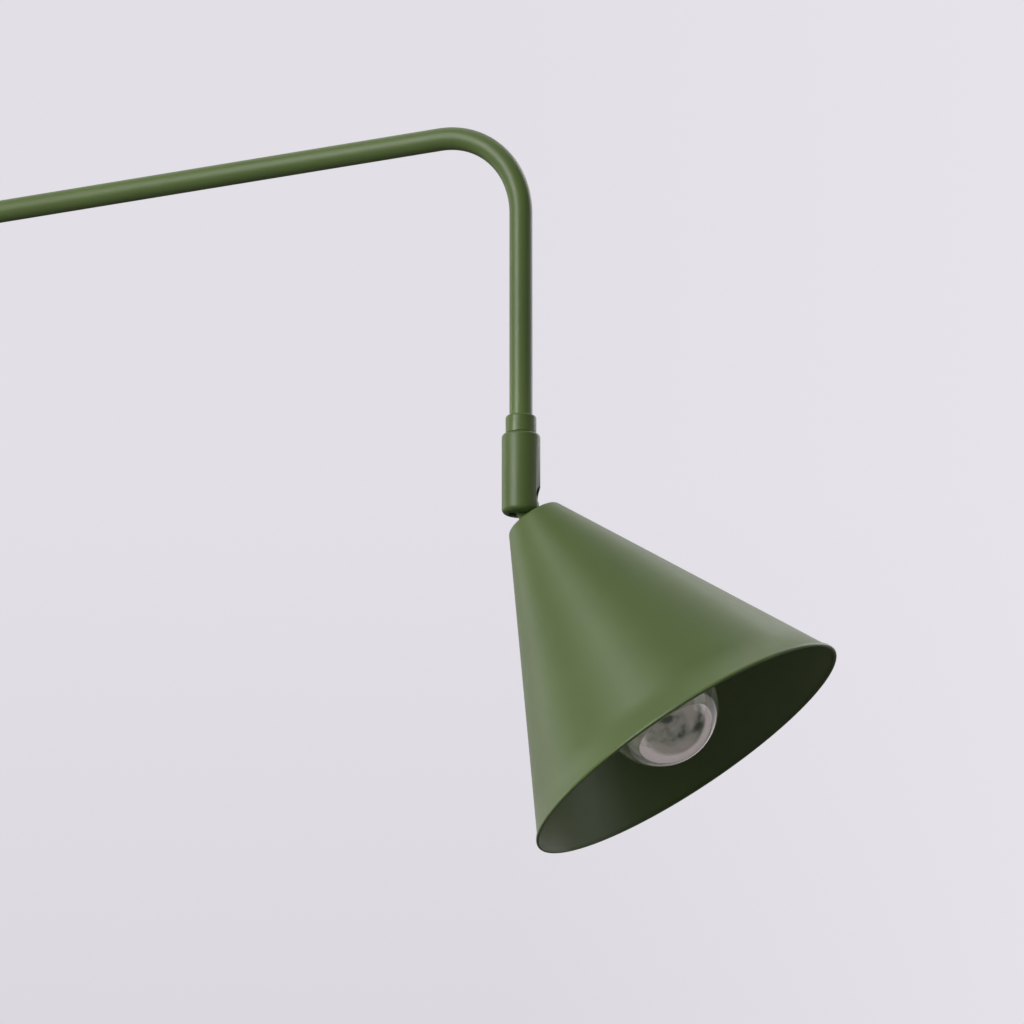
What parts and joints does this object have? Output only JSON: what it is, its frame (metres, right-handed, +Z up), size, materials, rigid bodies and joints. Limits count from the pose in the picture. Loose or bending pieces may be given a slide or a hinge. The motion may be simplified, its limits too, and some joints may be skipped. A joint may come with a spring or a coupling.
{
  "type": "adjustable arm floor lamp",
  "caption": "Floor lamp with a round weighted base, telescopic pole, swinging and tilting tube arm bent down to a swivelling, tilting cone shade.",
  "frame": {"origin": "centre of the base's underside, on the floor", "axes": "+Z up along the pole, +X along the arm at rest"},
  "size_m": [0.891, 0.26, 1.5114],
  "materials": {
    "green_powder_coat": "satin powder coat",
    "cast_iron": "as cast, black",
    "black_rubber": "matt",
    "zinc_steel": "zinc plated",
    "brass": "plain",
    "nylon": "matt",
    "black_phenolic": "moulded",
    "porcelain": "glazed",
    "nickel_cap": "nickel plated",
    "bulb_glass": "clear, crown silvered",
    "filament": "drawn wire",
    "wire_sheath": "matt"
  },
  "bodies": {
    "base": {"base_pad": "black_rubber", "base_weight": "cast_iron", "base_cover": "green_powder_coat", "cord_gland": "black_rubber", "base_washer": "zinc_steel", "base_nut": "zinc_steel", "base_nipple": "zinc_steel", "pole_foot_ring": "green_powder_coat", "pole_plug": "zinc_steel", "base_wire": "wire_sheath", "pole_outer": "green_powder_coat", "guide_bush": "nylon", "lock_collar": "green_powder_coat"},
    "lock_screw_body": {"lock_knob": "green_powder_coat", "lock_screw": "zinc_steel"},
    "stem": {"pole_inner": "green_powder_coat", "slide_bush": "nylon", "pole_head": "zinc_steel", "stem_wire": "wire_sheath"},
    "arm_hub": {"swing_washer": "nylon", "swing_hub": "green_powder_coat", "swing_stop_screw": "zinc_steel", "tilt_bolt": "green_powder_coat", "friction_washer_left": "nylon", "friction_washer_right": "nylon", "tilt_washer": "zinc_steel"},
    "tilt_knob_body": {"tilt_knob": "green_powder_coat"},
    "arm": {"arm_tube": "green_powder_coat", "arm_knuckle": "green_powder_coat", "arm_grub_screw": "zinc_steel", "arm_wire": "wire_sheath", "drop_collar": "green_powder_coat", "drop_nipple": "zinc_steel", "swivel_washer": "nylon", "swivel_nut": "zinc_steel"},
    "swivel": {"swivel_sleeve": "green_powder_coat", "swivel_core": "zinc_steel", "pivot_pin_left": "zinc_steel", "pivot_pin_right": "zinc_steel"},
    "shade": {"tilt_eye": "green_powder_coat", "shade_shell": "green_powder_coat", "shade_washer": "zinc_steel", "shade_nut": "zinc_steel", "holder_cap": "black_phenolic", "holder_shell": "black_phenolic", "holder_insert": "porcelain", "terminal_screw_left": "brass", "terminal_screw_right": "brass", "contact_centre": "brass", "contact_side": "brass", "bulb_cap": "nickel_cap", "bulb_insulator": "black_phenolic", "bulb_contact": "nickel_cap", "bulb_glass": "bulb_glass", "bulb_stem": "bulb_glass", "bulb_filament": "filament", "head_wire": "wire_sheath"}
  },
  "joints": [
    {"name": "height_slide", "type": "slide", "parent": "base", "child": "stem", "axis": [0, 0, 1], "range_m": [-0.22, 0.12]},
    {"name": "height_lock_turn", "type": "hinge", "parent": "base", "child": "lock_screw_body", "pos_m": [0, 0, 0.869], "axis": [0, -1, 0], "range_deg": [-360, 0]},
    {"name": "arm_swing", "type": "hinge", "parent": "stem", "child": "arm_hub", "pos_m": [0, 0, 1.5], "axis": [0, 0, 1], "range_deg": [-145, 145]},
    {"name": "arm_tilt_lock_turn", "type": "hinge", "parent": "arm_hub", "child": "tilt_knob_body", "pos_m": [0, 0, 1.5], "axis": [0, 1, 0], "range_deg": [-360, 0]},
    {"name": "arm_tilt", "type": "hinge", "parent": "arm_hub", "child": "arm", "pos_m": [0, 0, 1.5], "axis": [0, -1, 0], "range_deg": [-30, 50]},
    {"name": "shade_swivel", "type": "hinge", "parent": "arm", "child": "swivel", "pos_m": [0.6, 0, 1.2967], "axis": [0, 0, 1], "range_deg": [-200, 140]},
    {"name": "shade_tilt", "type": "hinge", "parent": "swivel", "child": "shade", "pos_m": [0.6, 0, 1.2967], "axis": [0.4099, -0.9121, 0], "range_deg": [-32.5, 52.5]}
  ]
}
